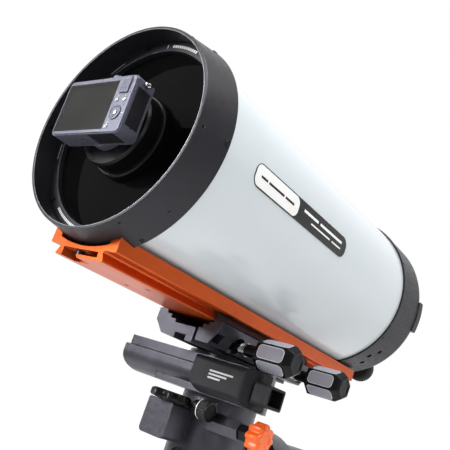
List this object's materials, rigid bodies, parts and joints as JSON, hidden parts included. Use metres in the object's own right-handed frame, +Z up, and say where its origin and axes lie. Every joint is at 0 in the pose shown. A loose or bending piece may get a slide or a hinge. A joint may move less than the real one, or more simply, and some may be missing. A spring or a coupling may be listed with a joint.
{
  "type": "prime-focus schmidt telescope",
  "caption": "Prime-focus Schmidt telescope with a camera on its corrector, a dovetail rail and an equatorial mount head with adjustable yoke.",
  "frame": {"origin": "centre of the base plate's underside, where it meets a tripod", "axes": "+Z up; the tube points towards -Y and 30 degrees up; +X to the right of a person facing its front"},
  "size_m": [0.2726, 0.6569, 0.7978],
  "materials": {
    "charcoal_coat": "textured powder coat",
    "pearl_paint": "gloss paint",
    "orange_anodised": "satin anodised",
    "mount_coat": "fine textured powder coat",
    "cover_plastic": "fine texture",
    "black_anodised": "satin",
    "knob_plastic": "moulded",
    "orange_plastic": "moulded",
    "steel": "turned",
    "brass": "turned",
    "corrector_glass": "coated",
    "mirror_coat": "polished",
    "camera_coat": "satin",
    "camera_trim": "polished",
    "screen": "gloss",
    "label_film": "printed film",
    "rubber": "moulded"
  },
  "bodies": {
    "base": {"base_plate": "charcoal_coat"},
    "yoke": {"yoke": "mount_coat"},
    "azimuth_knob": {"azimuth_knob": "knob_plastic"},
    "polar_unit": {"ra_housing": "mount_coat", "ra_bearings": "steel", "ra_motor": "steel"},
    "ra_worm": {"ra_worm": "steel"},
    "altitude_knob": {"altitude_knob": "knob_plastic"},
    "dec_unit": {"dec_housing": "mount_coat", "dec_motor_cover": "mount_coat", "dec_front_cover": "cover_plastic", "dec_motor": "steel", "dec_bearings": "steel", "port_block": "cover_plastic", "latch_tube": "black_anodised", "ra_shaft": "steel", "ra_wheel": "brass"},
    "dec_worm": {"dec_worm": "steel"},
    "clutch_knob": {"clutch_knob": "knob_plastic"},
    "lock_knob": {"lock_knob": "orange_plastic"},
    "saddle": {"saddle_body": "mount_coat", "dec_shaft": "steel", "dec_wheel": "brass"},
    "jaw": {"moving_jaw": "mount_coat"},
    "front_clamp_knob": {"front_clamp_knob": "knob_plastic"},
    "rear_clamp_knob": {"rear_clamp_knob": "knob_plastic"},
    "telescope": {"front_ring": "charcoal_coat", "retaining_ring": "charcoal_coat", "retaining_ring_screws": "steel", "corrector_plate": "corrector_glass", "lens_barrel": "black_anodised", "barrel_nut": "black_anodised", "field_lenses": "corrector_glass", "optical_tube": "pearl_paint", "tube_label": "label_film", "tube_screws": "steel", "rear_cell": "charcoal_coat", "guide_tube": "steel", "fan_frame": "knob_plastic", "power_jack": "knob_plastic", "dovetail_rail": "orange_anodised", "rail_screws": "steel"},
    "focuser": {"focus_knob": "rubber", "focus_screw": "brass"},
    "mirror": {"primary_mirror": "mirror_coat", "mirror_carrier": "steel"},
    "fan": {"fan_rotor": "knob_plastic"},
    "camera": {"camera_adapter": "black_anodised", "camera_lens_mount": "camera_trim", "camera_body": "camera_coat", "camera_screen": "screen", "strap_lugs": "camera_trim"},
    "shutter_button": {"shutter_button": "camera_trim"},
    "mode_dial": {"mode_dial": "camera_coat"},
    "control_ring": {"control_ring": "camera_trim"},
    "upper_left_button": {"upper_left_button": "camera_trim"},
    "upper_right_button": {"upper_right_button": "camera_trim"},
    "lower_button": {"lower_button": "camera_trim"},
    "port_door": {"port_door": "cover_plastic"},
    "battery_door": {"battery_door": "cover_plastic"}
  },
  "joints": [
    {"name": "azimuth", "type": "hinge", "parent": "base", "child": "yoke", "pos_m": [0, 0, 0.02], "axis": [0, 0, 1], "range_deg": [-8, 8]},
    {"name": "altitude", "type": "hinge", "parent": "yoke", "child": "polar_unit", "pos_m": [0, 0.01933, 0.15114], "axis": [-1, 0, 0], "range_deg": [-27, 35]},
    {"name": "ra_axis", "type": "hinge", "parent": "polar_unit", "child": "dec_unit", "pos_m": [0, -0.13482, 0.24014], "axis": [0, -0.866, 0.5], "range_deg": [-90, 90]},
    {"name": "dec_axis", "type": "hinge", "parent": "dec_unit", "child": "saddle", "pos_m": [0, -0.07382, 0.3458], "axis": [0, 0.5, 0.866], "range_deg": [-180, 180]},
    {"name": "balance_slide", "type": "slide", "parent": "saddle", "child": "telescope", "axis": [0, -0.866, 0.5], "range_m": [-0.06, 0.06]},
    {"name": "front_clamp_turn", "type": "hinge", "parent": "jaw", "child": "front_clamp_knob", "pos_m": [0.112, -0.11398, 0.40824], "axis": [1, 0, 0], "range_deg": [0, 1081]},
    {"name": "jaw_slide", "type": "slide", "parent": "saddle", "child": "jaw", "axis": [1, 0, 0], "range_m": [0, 0.006]},
    {"name": "rear_clamp_turn", "type": "hinge", "parent": "jaw", "child": "rear_clamp_knob", "pos_m": [0.112, 0.00034, 0.34224], "axis": [1, 0, 0], "range_deg": [0, 1081]},
    {"name": "focus_turn", "type": "hinge", "parent": "telescope", "child": "focuser", "pos_m": [0.04, 0.2236, 0.28493], "axis": [0, -0.866, 0.5], "range_deg": [-2881, 2881]},
    {"name": "mirror_focus", "type": "slide", "parent": "telescope", "child": "mirror", "axis": [0, -0.866, 0.5], "range_m": [-0.006, 0.006]},
    {"name": "fan_spin", "type": "hinge", "parent": "telescope", "child": "fan", "pos_m": [0, 0.2756, 0.375], "axis": [0, -0.866, 0.5], "continuous": true},
    {"name": "camera_rotation", "type": "hinge", "parent": "telescope", "child": "camera", "pos_m": [0, -0.26307, 0.686], "axis": [0, -0.866, 0.5], "continuous": true},
    {"name": "shutter_press", "type": "slide", "parent": "camera", "child": "shutter_button", "axis": [0.0384, -0.4996, -0.8654], "range_m": [0, 0.0015], "stiffness_N_per_m": 300},
    {"name": "mode_dial_turn", "type": "hinge", "parent": "camera", "child": "mode_dial", "pos_m": [0.01259, -0.26708, 0.73105], "axis": [-0.0384, 0.4996, 0.8654], "continuous": true},
    {"name": "control_ring_turn", "type": "hinge", "parent": "camera", "child": "control_ring", "pos_m": [0.03927, -0.3, 0.70005], "axis": [0, -0.866, 0.5], "continuous": true},
    {"name": "upper_left_press", "type": "slide", "parent": "camera", "child": "upper_left_button", "axis": [0, 0.866, -0.5], "range_m": [0, 0.0008], "stiffness_N_per_m": 300},
    {"name": "upper_right_press", "type": "slide", "parent": "camera", "child": "upper_right_button", "axis": [0, 0.866, -0.5], "range_m": [0, 0.0008], "stiffness_N_per_m": 300},
    {"name": "lower_press", "type": "slide", "parent": "camera", "child": "lower_button", "axis": [0, 0.866, -0.5], "range_m": [0, 0.0008], "stiffness_N_per_m": 300},
    {"name": "port_door_hinge", "type": "hinge", "parent": "camera", "child": "port_door", "pos_m": [0.05305, -0.27527, 0.69886], "axis": [-0.0384, 0.4996, 0.8654], "range_deg": [0, 110]},
    {"name": "battery_door_hinge", "type": "hinge", "parent": "camera", "child": "battery_door", "pos_m": [0.04411, -0.2996, 0.67473], "axis": [0, -0.866, 0.5], "range_deg": [0, 100]},
    {"name": "clutch_turn", "type": "hinge", "parent": "dec_unit", "child": "clutch_knob", "pos_m": [-0.015, -0.17156, 0.34449], "axis": [0, 0.5, 0.866], "range_deg": [0, 180]},
    {"name": "lock_turn", "type": "hinge", "parent": "dec_unit", "child": "lock_knob", "pos_m": [0.09, -0.13859, 0.3116], "axis": [1, 0, 0], "range_deg": [0, 180]},
    {"name": "altitude_knob_turn", "type": "hinge", "parent": "polar_unit", "child": "altitude_knob", "pos_m": [0.112, 0.01933, 0.15114], "axis": [1, 0, 0], "range_deg": [0, 180]},
    {"name": "azimuth_knob_turn", "type": "hinge", "parent": "yoke", "child": "azimuth_knob", "pos_m": [0, 0.105, 0.021], "axis": [0, 1, 0], "range_deg": [0, 360]},
    {"name": "ra_worm_turn", "type": "hinge", "parent": "polar_unit", "child": "ra_worm", "pos_m": [0, -0.06406, 0.1307], "axis": [1, 0, 0], "range_deg": [-16200, 16200]},
    {"name": "dec_worm_turn", "type": "hinge", "parent": "dec_unit", "child": "dec_worm", "pos_m": [0, -0.12926, 0.36857], "axis": [1, 0, 0], "range_deg": [-32400, 32400]}
  ],
  "couplings": [
    {"joint": "front_clamp_turn", "follows": "jaw_slide", "rad_per_m": 3141.6},
    {"joint": "rear_clamp_turn", "follows": "jaw_slide", "rad_per_m": 3141.6},
    {"joint": "focus_turn", "follows": "mirror_focus", "rad_per_m": 8377.6},
    {"joint": "ra_worm_turn", "follows": "ra_axis", "ratio": 180},
    {"joint": "dec_worm_turn", "follows": "dec_axis", "ratio": -180}
  ]
}
